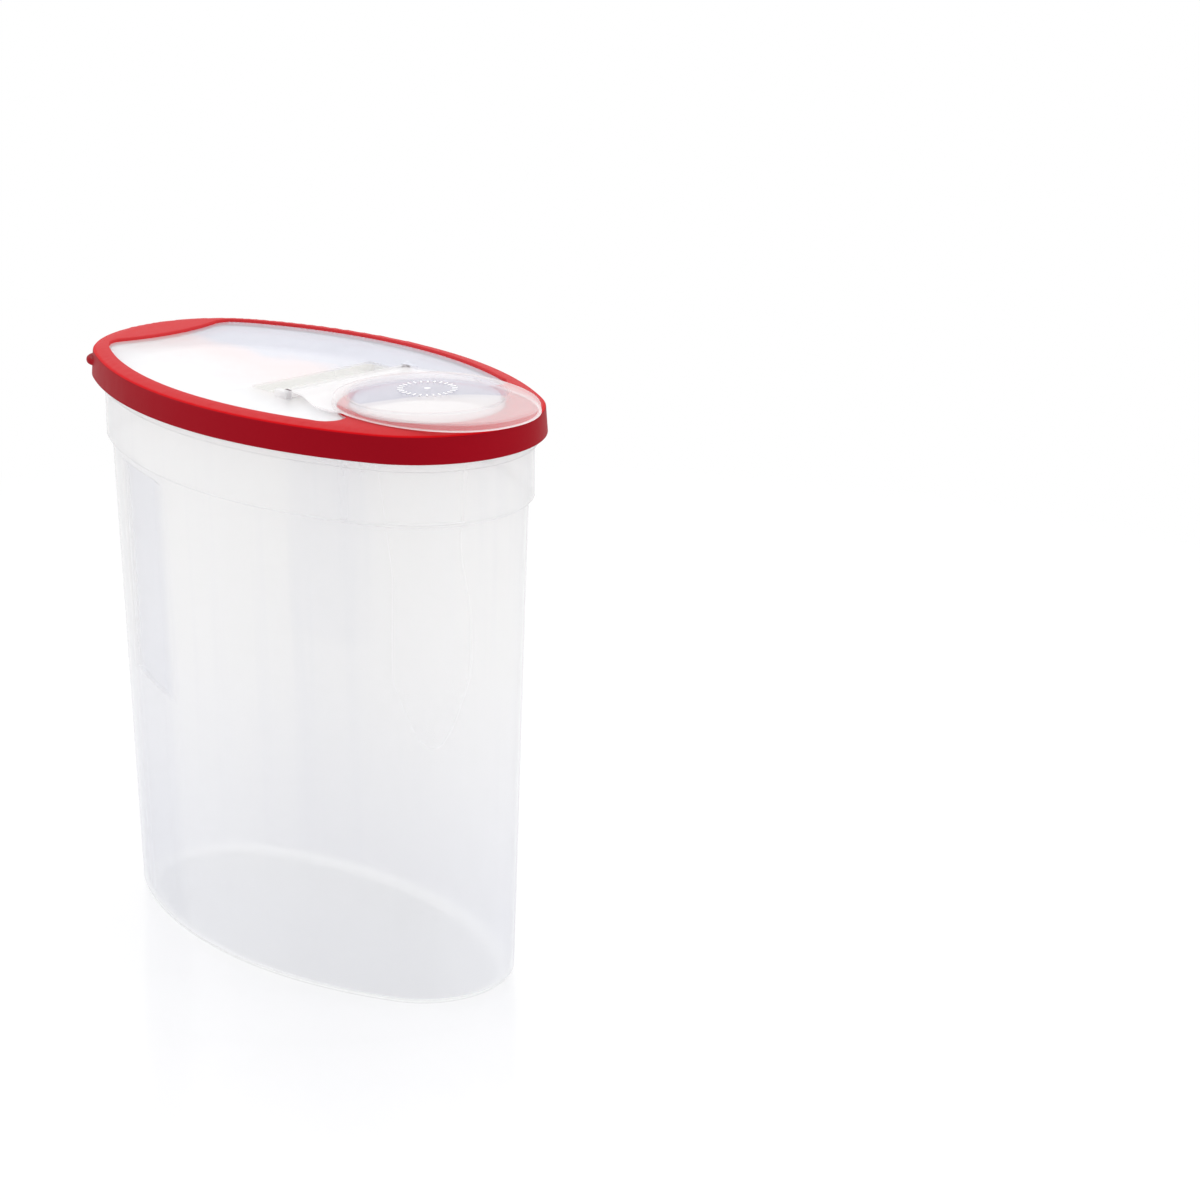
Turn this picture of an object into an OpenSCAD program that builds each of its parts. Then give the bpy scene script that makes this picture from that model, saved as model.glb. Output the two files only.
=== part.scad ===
// Tall oval dry food keeper with a lift-off lid and a flip cap over its pour opening.
// Origin: middle of the flat base. +X points to the pouring end, +Z up. Millimetres.
// Seen from above, the keeper is an oval of four arcs: two end arcs and two side arcs.
// An inset says how far a face lies inside the outline of the lid's skirt.

/* [Outline] */
// Length of the lid's skirt
lid_length = 252; // [236:1:270]
// Width of the lid's skirt
lid_width = 144; // [138:1:150]
// Radius of the two end arcs of the skirt
end_radius = 54; // [50:1:58]

/* [Container] */
// Height of the container's rim above the base
rim_height = 255.7; // [235:0.1:280]
// Wall thickness
wall = 1.6; // [1.2:0.1:2.4]
// Floor thickness
floor_t = 2; // [1.4:0.1:3.5]
// Inset of the wall where it meets the floor
foot_inset = 14.9; // [12:0.1:18]
// Inset of the wall just under the shoulder
shoulder_inset = 8.1; // [7.3:0.1:9]
// Inset of the upright band above the shoulder
band_inset = 5.6; // [5.2:0.1:6]
// Depth of the shoulder's underside below the rim
shoulder_drop = 37.7; // [25:0.1:60]
// Height of the sloping shoulder
shoulder_rise = 1.5; // [1:0.1:3]
// Outside radius between wall and floor
foot_radius = 4; // [2.5:0.1:6]
// Inset of the stop flange under the lid
flange_inset = 4; // [3.6:0.1:4.6]
// Height of the stop flange
flange_height = 4; // [2:0.1:6]
// Inset of the bead round the rim
bead_inset = 4.6; // [4.5:0.1:5]
// Height of the bead round the rim
bead_height = 1.8; // [1:0.1:3]

/* [Finger grips] */
// Where a grip's rear edge lies, along X
grip_rear = -75.5; // [-78:0.5:-66]
// Where a grip's front edge lies, along X
grip_front = -33.5; // [-40:0.5:-20]
// Height of the grips' lower end
grip_foot = 6; // [5:0.5:20]
// Height of the step between the deep and the shallow part
grip_step = 115; // [90:1:140]
// Gap from the top of the grips to the shoulder
grip_top_gap = 3; // [3:0.5:12]
// Depth of a grip above its step
grip_deep = 3; // [1.5:0.1:4]
// Depth of a grip below its step
grip_shallow = 1.4; // [0.6:0.1:2]

/* [Lid rim] */
// Height of the skirt from its lower edge to its upper edge
skirt_height = 11.9; // [10.5:0.1:14]
// Thickness of the skirt
skirt_t = 2.6; // [2:0.1:2.9]
// Inset of the skirt's upper edge, from its draft
skirt_draft = 0.8; // [0.3:0.1:1.2]
// Height of the small chamfer on the skirt's upper edge
crease = 0.7; // [0.3:0.1:1]
// How far the lip at the skirt's lower edge reaches in past the skirt
lip_reach = 1; // [0.4:0.1:1.2]
// Height of that lip
lip_height = 1.2; // [0.8:0.1:2]
// Inset of the inner edge of the red top band
top_inset = 8.2; // [7.6:0.1:9]
// How far the top band rises from the crease to its inner edge
top_rise = 1.4; // [0.8:0.1:2]
// Thickness of the red layer that lies on the panel
layer_t = 1.4; // [1:0.1:2]
// Radius of the arc that bounds the red rear field
bow_radius = 81; // [70:1:100]
// Length of the red rear field along the middle, from the rear tip
bow_length = 26; // [20:0.5:32]
// How far behind the opening's middle the clear window's two front horns begin to round
horn_back = 12; // [9:0.5:17]
// Ledge beside the rounding of the horns
horn_ledge = 0.2; // [0.1:0.1:0.4]
// Turn of the pull tab from the rear tip, in degrees
tab_turn = 55; // [40:1:60]
// Radius of the pull tab
tab_radius = 9; // [7:0.1:11]
// How far the pull tab stands out
tab_reach = 2.2; // [1.5:0.1:4]
// Thickness of the pull tab
tab_t = 3; // [2.5:0.1:4]
// Height of the tab's underside above the skirt's lower edge
tab_lift = 5.4; // [3:0.1:6]

/* [Lid panel] */
// Thickness of the clear panel
panel_t = 1.8; // [1.4:0.1:2.4]
// Thickness of the panel's edge inside the red rim
edge_t = 1.6; // [1.2:0.1:2]
// Height of the panel's underside above the underside of its edge
panel_lift = 1.1; // [0.8:0.1:1.6]
// Inset of the plug wall that enters the container's mouth
plug_inset = 7.5; // [7.3:0.1:7.9]
// Thickness of the plug wall
plug_t = 1.2; // [1:0.1:1.6]
// Clear pocket behind the hinge, along X
pocket_length = 28; // [20:0.5:30]
// Depth of that pocket below the panel's face
pocket_depth = 4.5; // [4:0.1:6]
// Wall of the pocket
pocket_wall = 1.5; // [1:0.1:2]
// Thickness of each hinge cheek, along Y
cheek_t = 3.2; // [2.5:0.1:4]
// Length of each hinge cheek, along X
cheek_length = 9; // [8:0.5:12]

/* [Pour opening] */
// Distance from the lid's front tip back to the middle of the opening
spout_back = 49; // [47:0.5:52]
// Radius of the opening inside its gasket
spout_radius = 33; // [30:0.5:34]
// Wall of the gasket's sleeve
sleeve_t = 2; // [1.4:0.1:2.5]
// Width of the gasket's red ring on the panel
gasket_width = 5; // [4:0.1:6]
// Depth of the sleeve below the panel's underside
sleeve_drop = 4; // [2:0.1:6]

/* [Flip cap] */
// Length of the cap from the opening's middle to its nose
nose_length = 54.5; // [50:0.5:56]
// Length of the cap from the opening's middle to its rear
rear_length = 39; // [37:0.5:42]
// Half the width of the cap
cap_half_width = 39.5; // [37.5:0.1:41]
// Squareness of the cap's outline, 2 being an ellipse
cap_power = 2.15; // [2:0.05:2.6]
// Height of the cap's skirt
cap_height = 3.8; // [3.2:0.1:5]
// Thickness of the cap
cap_t = 1.4; // [1.1:0.1:1.8]
// Radius of the dome over the opening
dome_radius = 34.8; // [33.5:0.1:36]
// Rise of the dome
dome_rise = 2.3; // [1.2:0.1:3]
// Wall of the plug ring under the dome
ring_t = 1.5; // [1.2:0.1:2]
// Depth that the plug ring enters the opening
ring_depth = 7; // [4:0.5:8]
// Half the width of the neck between the cap and the hinge
neck_half_width = 33; // [30:0.5:34]
// Thickness of the neck
neck_t = 1.5; // [1.2:0.1:1.6]

/* [Hinge] */
// Distance from the middle of the opening back to the hinge axis
hinge_back = 53; // [51:0.5:55]
// Height of the hinge axis above the panel's face
hinge_rise = 0.6; // [0.3:0.1:1]
// Radius of the knuckle
knuckle_radius = 2.6; // [2.4:0.1:2.8]
// Radius of the hinge pins
pin_radius = 1.5; // [1.2:0.1:1.6]
// Length of each hinge pin
pin_length = 2.8; // [2:0.1:3]

/* [Fits] */
// Running gap between a pin and its bore
pin_gap = 0.05; // [0.03:0.01:0.09]
// Gap between the lid and the container, and between the cap and the lid
seat_gap = 0.3; // [0.25:0.05:0.5]
// Gap between the cap's plug ring and the gasket
ring_gap = 0.3; // [0.25:0.05:0.5]
// Gap beside and ahead of the neck and its knuckle
neck_gap = 0.4; // [0.3:0.05:0.6]

/* [Hidden] */
arc_fn = 128;
over = 1;

end_x = lid_length / 2 - end_radius;
half_width = lid_width / 2;
side_radius = (half_width * half_width + end_x * end_x - end_radius * end_radius)
    / (2 * (half_width - end_radius));
side_y = side_radius - half_width;
reach = 2;

shoulder_z = rim_height - shoulder_drop;
edge_z = rim_height + seat_gap;
under_z = edge_z + panel_lift;
face_z = under_z + panel_t;
top_z = face_z + layer_t;
crease_z = top_z - top_rise;
skirt_z = crease_z - skirt_height;
flange_z = skirt_z - seat_gap;
grip_top = shoulder_z - grip_top_gap;

bow_x = bow_length - lid_length / 2;
spout_x = lid_length / 2 - spout_back;
horn_x = spout_x - horn_back;
hinge_x = spout_x - hinge_back;

cap_z = top_z + seat_gap;
cap_top_z = cap_z + cap_height;
hinge_z = face_z + hinge_rise;
pocket_front = hinge_x + knuckle_radius + neck_gap;
pocket_half_width = neck_half_width + neck_gap;
sleeve_radius = spout_radius + sleeve_t;
gasket_radius = spout_radius + gasket_width;
ring_radius = spout_radius - ring_gap;
dome_sphere = (dome_radius * dome_radius + dome_rise * dome_rise) / (2 * dome_rise);

// The outline's two kinds of arc turn about end_x and side_y: a wedge keeps each to its share.
module end_wedge(side) {
  linear_extrude(2 * rim_height)
    polygon([[side * end_x, 0],
             [side * end_x * (1 + reach), side_y * reach],
             [side * end_x * (1 + reach), -side_y * reach]]);
}

module side_wedge(side) {
  linear_extrude(2 * rim_height)
    polygon([[-end_x, 0],
             [end_x, 0],
             [end_x * (1 + reach), side * side_y * reach],
             [-end_x * (1 + reach), side * side_y * reach]]);
}

// Section points are [inset, height]. A band is an open ring, a core is filled to the middle.
function band(points, radius) = [for (p = points) [radius - p[0], p[1]]];

function core(points, radius) = concat(
    [[0, points[0][1]]],
    band(points, radius),
    [[0, points[len(points) - 1][1]]]);

module oval(points, filled = true) {
  for (side = [-1, 1]) {
    intersection() {
      translate([side * end_x, 0, 0])
        rotate_extrude($fn = arc_fn)
          polygon(filled ? core(points, end_radius) : band(points, end_radius));
      end_wedge(side);
    }
    intersection() {
      translate([0, -side * side_y, 0])
        rotate_extrude($fn = arc_fn)
          polygon(filled ? core(points, side_radius) : band(points, side_radius));
      side_wedge(side);
    }
  }
}

// The outer wall leans in from the shoulder to the foot.
function wall_inset(z) = foot_inset + (shoulder_inset - foot_inset) * z / shoulder_z;

// Wall faces from the floor's corner to the shoulder, moved in by a depth.
function wall_points(depth, bottom, radius) = concat(
    [for (a = [0:15:90])
        [wall_inset(bottom + radius) + depth + radius * (1 - sin(a)), bottom + radius * (1 - cos(a))]],
    [[shoulder_inset + depth, shoulder_z]]);

function outer_points() = concat(
    wall_points(0, 0, foot_radius),
    [[band_inset, shoulder_z + shoulder_rise],
     [band_inset, flange_z - flange_height],
     [flange_inset, flange_z - flange_height],
     [flange_inset, flange_z],
     [band_inset, flange_z],
     [band_inset, rim_height - bead_height],
     [bead_inset, rim_height - bead_height],
     [bead_inset, rim_height]]);

function inner_points() = concat(
    wall_points(wall, floor_t, max(foot_radius - wall, 1)),
    [[band_inset + wall, shoulder_z + shoulder_rise],
     [band_inset + wall, rim_height + over]]);

// What a grip takes out of a wall face that lies in by face, with a margin round it.
module grip_cut(depth, bottom, top, margin, face) {
  for (side = [0, 1])
    mirror([0, side, 0])
      difference() {
        translate([grip_rear - margin, -half_width, bottom])
          cube([grip_front - grip_rear + 2 * margin, half_width, top - bottom]);
        translate([0, side_y, 0])
          cylinder(r1 = side_radius - foot_inset - face - depth,
                   r2 = side_radius - shoulder_inset - face - depth,
                   h = shoulder_z, $fn = 2 * arc_fn);
      }
}

module container() {
  color("#e6e9ec", 0.5)
    difference() {
      oval(outer_points());
      grip_cut(grip_deep, grip_step, grip_top, 0, 0);
      grip_cut(grip_shallow, grip_foot, grip_step, 0, 0);
      difference() {
        oval(inner_points());
        grip_cut(grip_deep, grip_step - wall, grip_top + wall, wall, wall);
        grip_cut(grip_shallow, grip_foot, grip_step, wall, wall);
      }
    }
}

module spout_hole(radius) {
  translate([spout_x, 0, under_z - sleeve_drop - over])
    cylinder(r = radius, h = top_z - under_z + sleeve_drop + 2 * over, $fn = arc_fn);
}

module pocket(grow, bottom, top) {
  translate([pocket_front - pocket_length - grow, -pocket_half_width - grow, bottom])
    cube([pocket_length + 2 * grow, 2 * (pocket_half_width + grow), top - bottom]);
}

module hinge_cheeks() {
  for (side = [-1, 1])
    translate([hinge_x - cheek_length / 2,
               side * (pocket_half_width + cheek_t / 2) - cheek_t / 2,
               under_z])
      cube([cheek_length, cheek_t, hinge_z + knuckle_radius - under_z]);
}

module pin_bores() {
  translate([hinge_x, neck_half_width + pin_length + neck_gap, hinge_z])
    rotate([90, 0, 0])
      cylinder(r = pin_radius + pin_gap, h = 2 * (neck_half_width + pin_length + neck_gap), $fn = 48);
}

module lid_panel() {
  color("#eef2f5", 0.4)
    difference() {
      union() {
        difference() {
          oval([[skirt_t, edge_z],
                [skirt_t, edge_z + edge_t],
                [top_inset, edge_z + edge_t],
                [top_inset, face_z]]);
          oval([[plug_inset + plug_t, edge_z - over], [plug_inset + plug_t, under_z]]);
        }
        oval([[plug_inset, skirt_z],
              [plug_inset, under_z],
              [plug_inset + plug_t, under_z],
              [plug_inset + plug_t, skirt_z]], filled = false);
        pocket(pocket_wall, face_z - pocket_depth - pocket_wall, face_z);
        hinge_cheeks();
      }
      pocket(0, face_z - pocket_depth, hinge_z + knuckle_radius + over);
      pin_bores();
      spout_hole(sleeve_radius);
    }
}

// A horn of the window lies midway between the gasket's ring and the inner edge of the top band.
function band_y() = sqrt(pow(side_radius - top_inset, 2) - horn_x * horn_x) - side_y;

function ring_y() = sqrt(gasket_radius * gasket_radius - horn_back * horn_back);

module window_cut(bottom, top) {
  difference() {
    oval([[top_inset, bottom], [top_inset, top]]);
    translate([bow_x - bow_radius, 0, bottom - over])
      cylinder(r = bow_radius, h = top - bottom + 2 * over, $fn = arc_fn);
    translate([spout_x, 0, bottom - over])
      cylinder(r = gasket_radius, h = top - bottom + 2 * over, $fn = arc_fn);
    difference() {
      translate([horn_x, -half_width, bottom - over])
        cube([lid_length / 2, lid_width, top - bottom + 2 * over]);
      for (side = [-1, 1])
        translate([horn_x, side * (band_y() + ring_y()) / 2, bottom - 2 * over])
          cylinder(r = (band_y() - ring_y()) / 2 - horn_ledge, h = top - bottom + 4 * over, $fn = 64);
    }
  }
}

module pull_tab() {
  difference() {
    translate([-end_x, 0, skirt_z + tab_lift])
      rotate([0, 0, 180 + tab_turn])
        translate([end_radius + tab_reach - tab_radius, 0, 0])
          cylinder(r = tab_radius, h = tab_t, $fn = 64);
    oval([[skirt_t - over, skirt_z], [skirt_t - over, crease_z]]);
  }
}

module lid_rim() {
  color("#c8202c") {
    difference() {
      union() {
        difference() {
          oval([[top_inset, face_z],
                [top_inset, edge_z + edge_t],
                [skirt_t, edge_z + edge_t],
                [skirt_t, skirt_z + lip_height],
                [skirt_t + lip_reach, skirt_z + lip_height],
                [skirt_t + lip_reach, skirt_z],
                [0, skirt_z],
                [skirt_draft, crease_z - crease],
                [skirt_draft + crease, crease_z],
                [top_inset, top_z]]);
          window_cut(face_z - over, top_z + over);
        }
        translate([spout_x, 0, under_z - sleeve_drop])
          cylinder(r = sleeve_radius, h = top_z - under_z + sleeve_drop, $fn = arc_fn);
      }
      spout_hole(spout_radius);
    }
    pull_tab();
  }
}

// The cap's outline is a rounded oval, longer towards its nose.
function cap_reach(a) = cos(a) > 0 ? nose_length : rear_length;

function rounded(c) = sign(c) * pow(abs(c), 2 / cap_power);

function cap_outline(inset) = [for (a = [0:3:357])
    [spout_x + (cap_reach(a) - inset) * rounded(cos(a)), (cap_half_width - inset) * rounded(sin(a))]];

module dome(drop, radius) {
  intersection() {
    translate([spout_x, 0, cap_top_z - drop - cap_t])
      cylinder(r = radius, h = 2 * dome_rise + cap_t, $fn = arc_fn);
    translate([spout_x, 0, cap_top_z + dome_rise - dome_sphere - drop])
      sphere(r = dome_sphere, $fn = arc_fn);
  }
}

module cap_shell() {
  difference() {
    union() {
      translate([0, 0, cap_z])
        linear_extrude(cap_height)
          polygon(cap_outline(0));
      dome(0, dome_radius);
    }
    translate([0, 0, cap_z - over])
      linear_extrude(cap_height - cap_t + over)
        polygon(cap_outline(cap_t));
    dome(cap_t, dome_radius - cap_t);
  }
}

module plug_ring() {
  translate([spout_x, 0, top_z - ring_depth])
    difference() {
      cylinder(r = ring_radius, h = cap_top_z - cap_t / 2 - top_z + ring_depth, $fn = arc_fn);
      translate([0, 0, -over])
        cylinder(r = ring_radius - ring_t, h = cap_height + ring_depth + 2 * over, $fn = arc_fn);
    }
}

module neck() {
  difference() {
    translate([hinge_x, -neck_half_width, hinge_z + knuckle_radius - neck_t])
      cube([spout_x - hinge_x, 2 * neck_half_width, neck_t]);
    translate([0, 0, cap_z - over])
      linear_extrude(cap_height)
        polygon(cap_outline(cap_t / 2));
  }
  translate([hinge_x, neck_half_width, hinge_z])
    rotate([90, 0, 0])
      cylinder(r = knuckle_radius, h = 2 * neck_half_width, $fn = 48);
  translate([hinge_x, neck_half_width + pin_length, hinge_z])
    rotate([90, 0, 0])
      cylinder(r = pin_radius, h = 2 * (neck_half_width + pin_length), $fn = 48);
}

module flip_cap() {
  color("#f2eef0", 0.5) {
    cap_shell();
    plug_ring();
    neck();
  }
}

container();
lid_panel();
lid_rim();
flip_cap();
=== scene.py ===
import math

import bmesh
import bpy
from mathutils import Matrix, Vector
from mathutils.geometry import delaunay_2d_cdt


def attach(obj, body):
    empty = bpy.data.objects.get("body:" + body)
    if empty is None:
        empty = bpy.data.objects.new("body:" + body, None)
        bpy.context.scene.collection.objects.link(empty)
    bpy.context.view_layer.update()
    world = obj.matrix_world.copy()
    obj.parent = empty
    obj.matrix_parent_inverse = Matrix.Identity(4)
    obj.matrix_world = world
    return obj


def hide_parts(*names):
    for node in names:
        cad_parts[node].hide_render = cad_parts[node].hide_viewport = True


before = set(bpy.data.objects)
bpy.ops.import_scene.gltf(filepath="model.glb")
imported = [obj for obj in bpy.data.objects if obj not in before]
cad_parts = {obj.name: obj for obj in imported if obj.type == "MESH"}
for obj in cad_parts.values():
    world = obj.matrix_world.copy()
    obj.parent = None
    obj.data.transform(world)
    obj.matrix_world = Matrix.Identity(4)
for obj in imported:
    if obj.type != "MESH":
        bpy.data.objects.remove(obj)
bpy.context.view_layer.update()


# ---------------------------------------------------------------- View
# The camera stands a little above the lid, at the pouring end's side.
# Its place and lens come from the outlines of the lid, the shoulder and the base.
SENSOR, PICTURE_PX, FOCAL_PX = 36, 1200, 3387.8
eye = Vector((1.1284, -0.8959, 0.6158))
yaw, pitch, roll = (math.radians(a) for a in (46.54, 17.76, 0.34))
ahead = Vector((-math.cos(pitch) * math.sin(yaw), math.cos(pitch) * math.cos(yaw), -math.sin(pitch)))
flat_right = Vector((math.cos(yaw), math.sin(yaw), 0))
flat_up = flat_right.cross(ahead)
right = math.cos(roll) * flat_right + math.sin(roll) * flat_up
up = right.cross(ahead)
camera = bpy.data.objects.new("camera", bpy.data.cameras.new("camera"))
bpy.context.scene.collection.objects.link(camera)
camera.matrix_world = Matrix.Translation(eye) @ Matrix((right, up, -ahead)).transposed().to_4x4()
camera.data.sensor_width = SENSOR
camera.data.lens = FOCAL_PX / PICTURE_PX * SENSOR
camera.data.clip_end = 50
bpy.context.scene.camera = camera
bpy.context.scene.view_settings.view_transform = "Standard"


# ---------------------------------------------------------------- Studio
# A pale glossy table fades into a white backdrop, with one wide lamp above and two beside.
# The table keeps a soft shadow and a faint reflection near the object, and is plain white further off.
def feed(tree, slot, value):
    """Links a wire or a socket to a slot, or sets the slot to a constant."""
    if isinstance(value, Wire):
        value = value.socket
    if isinstance(value, bpy.types.NodeSocket):
        tree.links.new(value, slot)
    else:
        slot.default_value = value


class Wire:
    """One socket inside a material. Sums and products of wires add their Math nodes."""

    def __init__(self, tree, socket):
        self.tree, self.socket = tree, socket

    def math(self, operation, *values):
        node = self.tree.nodes.new("ShaderNodeMath")
        node.operation = operation
        for slot, value in zip(node.inputs, values):
            feed(self.tree, slot, value)
        return Wire(self.tree, node.outputs[0])

    def __add__(self, other):
        return self.math("ADD", self, other)

    def __sub__(self, other):
        return self.math("SUBTRACT", self, other)

    def __rsub__(self, other):
        return self.math("SUBTRACT", other, self)

    def __mul__(self, other):
        return self.math("MULTIPLY", self, other)

    def __truediv__(self, other):
        return self.math("DIVIDE", self, other)

    def __abs__(self):
        return self.math("ABSOLUTE", self)

    __radd__ = __add__
    __rmul__ = __mul__

    def clip(self):
        return self.math("MINIMUM", self.math("MAXIMUM", self, 0.0), 1.0)

    def past(self, start, width):
        """0 up to a start and 1 beyond it, with an even rise over a width."""
        return ((self - start) / width).clip()


class Finish:
    """One material: node() adds any node, its settings first and then its sockets."""

    def __init__(self, name):
        self.material = bpy.data.materials.new(name)
        self.material.use_nodes = True
        self.tree = self.material.node_tree
        self.tree.nodes.clear()

    def node(self, kind, settings=None, sockets=None, out=0):
        node = self.tree.nodes.new(kind)
        for name, value in (settings or {}).items():
            setattr(node, name, value)
        for name, value in (sockets or {}).items():
            feed(self.tree, node.inputs[name], value)
        return Wire(self.tree, node.outputs[out])

    def spot(self):
        return self.node("ShaderNodeTexCoord", out="Object")

    def axis(self, letter):
        """The place on the object along one axis, in metres."""
        return self.node("ShaderNodeSeparateXYZ", None, {"Vector": self.spot()}, out=letter)

    def height(self, low, high):
        """0 at the lower height and 1 at the upper one, in metres above the base."""
        return self.axis("Z").past(low, high - low)

    def noise(self, scale, stretch=(1, 1, 1), detail=3.0, roughness=0.5):
        place = self.node("ShaderNodeMapping", None, {"Vector": self.spot(), "Scale": stretch})
        return self.node("ShaderNodeTexNoise", None, {
            "Vector": place, "Scale": scale, "Detail": detail, "Roughness": roughness})

    def facing(self, blend):
        """0 on a face seen square on, and 1 along the object's outline."""
        return self.node("ShaderNodeLayerWeight", None, {"Blend": blend}, out="Facing")

    def blend(self, share, first, second):
        mix = self.tree.nodes.new("ShaderNodeMix")
        mix.data_type = "RGBA"
        for slot, value in ((mix.inputs[0], share), (mix.inputs[6], first), (mix.inputs[7], second)):
            feed(self.tree, slot, value)
        return Wire(self.tree, mix.outputs[2])

    def bump(self, height, strength, distance):
        return self.node("ShaderNodeBump", None, {
            "Height": height, "Strength": strength, "Distance": distance})

    def mix(self, share, first, second):
        return self.node("ShaderNodeMixShader", None, {0: share, 1: first, 2: second})

    def close(self, kind, surface):
        feed(self.tree, self.tree.nodes.new(kind).inputs["Surface"], surface)

    def shade(self, surface):
        self.close("ShaderNodeOutputMaterial", surface)
        return self.material


def shown_rays(finish):
    """1 for rays that should meet the white backdrop: from the camera, off gloss or through glass."""
    kinds = [finish.node("ShaderNodeLightPath", out=name) for name in (
        "Is Camera Ray", "Is Glossy Ray", "Is Transmission Ray")]
    return (kinds[0] + kinds[1] + kinds[2]).clip()


class Sky(Finish):
    """The world's nodes, made with the same calls as a material's."""

    def __init__(self, name):
        world = bpy.data.worlds.new(name)
        bpy.context.scene.world = world
        world.use_nodes = True
        self.tree = world.node_tree
        self.tree.nodes.clear()


WHITE = (1, 1, 1, 1)
backdrop = Sky("white_studio")
soft = backdrop.node("ShaderNodeBackground", None, {"Color": (0.985, 0.985, 1, 1), "Strength": 0.92})
white = backdrop.node("ShaderNodeBackground", None, {"Color": WHITE, "Strength": 1.0})
backdrop.close("ShaderNodeOutputWorld", backdrop.mix(shown_rays(backdrop), soft, white))

table = Finish("pale_table")
away = table.node("ShaderNodeVectorMath", {"operation": "LENGTH"}, {0: table.spot()}, out="Value")
paper = table.node("ShaderNodeBsdfDiffuse", None, {"Color": (0.9, 0.9, 0.91, 1)})
shaded = table.node("ShaderNodeAddShader", None, {
    0: table.node("ShaderNodeBsdfDiffuse", None, {"Color": (0.3, 0.3, 0.305, 1)}),
    1: table.node("ShaderNodeEmission", None, {"Color": WHITE, "Strength": 0.7})})
plain = table.node("ShaderNodeEmission", None, {"Color": WHITE, "Strength": 1.0})
seen = table.mix(away.past(0.3, 0.5), shaded, plain)
mirror = table.node("ShaderNodeBsdfGlossy", None, {"Color": WHITE, "Roughness": 0.08})
mirrored = table.mix((1.0 - away.past(0.13, 0.2)) * 0.26, seen, mirror)
table.shade(table.mix(shown_rays(table), paper, mirrored))

bpy.ops.mesh.primitive_plane_add(size=24, location=(0, 0, 0))
floor = bpy.context.object
floor.name = "floor"
floor.data.materials.append(table.material)


def lamp(name, place, width, height, power):
    """A lamp that looks at the middle of the container."""
    light = bpy.data.lights.new(name, "AREA")
    light.shape = "RECTANGLE"
    light.size, light.size_y, light.energy = width, height, power
    holder = bpy.data.objects.new(name, light)
    bpy.context.scene.collection.objects.link(holder)
    holder.location = place
    holder.rotation_euler = (Vector((0, 0, 0.15)) - Vector(place)).to_track_quat("-Z", "Y").to_euler()


lamp("light_above", (-0.3, 0.4, 1.7), 1.8, 1.4, 6.5)
lamp("light_left", (-1.5, -1.0, 0.9), 0.9, 1.3, 6.5)
lamp("light_right", (1.5, 0.9, 0.8), 0.5, 1.3, 5.5)


# ---------------------------------------------------------------- Container
# The tub is one moulding of milky polypropylene, with a finger grip pressed into each side. Its plan is an
# oval of four arcs that all pieces share, and an inset says how far a face lies inside the lid's outline.
mm = 0.001
END_X, END_R, SIDE_Y, SIDE_R = 72.0, 54.0, 135.0, 207.0
CORNER = math.atan2(SIDE_Y, END_X)


def oval_stops(end_count, side_count):
    """Places round the oval as (centre x, centre y, radius, angle)."""
    side_turn = math.pi - 2 * CORNER
    stops = []
    for side, middle in ((1, 0), (-1, math.pi)):
        stops += [(side * END_X, 0, END_R, middle - CORNER + 2 * CORNER * k / end_count)
                  for k in range(end_count)]
        stops += [(0, -side * SIDE_Y, SIDE_R, middle + CORNER + side_turn * k / side_count)
                  for k in range(side_count)]
    return stops


def oval_point(stop, inset, z):
    x, y, radius, angle = stop
    return (x + (radius - inset) * math.cos(angle), y + (radius - inset) * math.sin(angle), z)


def inset_of(x, y):
    """How far a point in plan lies inside the skirt's outline."""
    x, y = abs(x), abs(y)
    if x > END_X and math.atan2(y, x - END_X) < CORNER:
        return END_R - math.hypot(x - END_X, y)
    return SIDE_R - math.hypot(x, y + SIDE_Y)


class Shell:
    """Collects points and faces in millimetres, and joins loops of equal length with strips."""

    def __init__(self):
        self.points, self.faces = [], []

    def loop(self, points):
        first = len(self.points)
        self.points.extend(points)
        return list(range(first, len(self.points)))

    def strip(self, low, high, closed=True):
        count = len(low)
        for k in range(count if closed else count - 1):
            n = (k + 1) % count
            self.faces.append((low[k], low[n], high[n], high[k]))

    def strips(self, loops, closed=True):
        for low, high in zip(loops, loops[1:]):
            self.strip(low, high, closed)

    def fan(self, ring, middle, turned=False):
        tip = self.loop([middle])[0]
        for k in range(len(ring)):
            n = (k + 1) % len(ring)
            self.faces.append((ring[n], ring[k], tip) if turned else (ring[k], ring[n], tip))

    def data(self, name):
        data = bpy.data.meshes.new(name)
        data.from_pydata([Vector(p) * mm for p in self.points], [], self.faces)
        data.validate()
        return data


def make_piece(name, data, finish, sharp=35):
    """Puts a mesh into the scene as one smooth piece with one finish."""
    data.materials.clear()
    data.materials.append(finish)
    data.shade_smooth()
    data.set_sharp_from_angle(angle=math.radians(sharp))
    piece = bpy.data.objects.new(name, data)
    bpy.context.scene.collection.objects.link(piece)
    return piece


def bend(start, corner, stop, shares):
    """Points of a curve from start to stop that is drawn towards a corner."""
    return [tuple(start * (1 - t) ** 2 + corner * 2 * t * (1 - t) + stop * t ** 2) for t in shares]


def round_corner(before, corner, after, radius, steps=4):
    """Points of a curve that rounds one corner of a section."""
    corner = Vector(corner)
    a, b = Vector(before) - corner, Vector(after) - corner
    run = min(radius / math.tan(a.angle(b) / 2), a.length * 0.49, b.length * 0.49)
    return bend(corner + a.normalized() * run, corner, corner + b.normalized() * run,
                [k / steps for k in range(steps + 1)])


def section(points):
    """A section from (inset, z, rounding) corners."""
    out = []
    for k, (inset, z, radius) in enumerate(points):
        if radius == 0 or k in (0, len(points) - 1):
            out.append((inset, z))
        else:
            out.extend(round_corner(points[k - 1][:2], (inset, z), points[k + 1][:2], radius))
    return out


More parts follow.
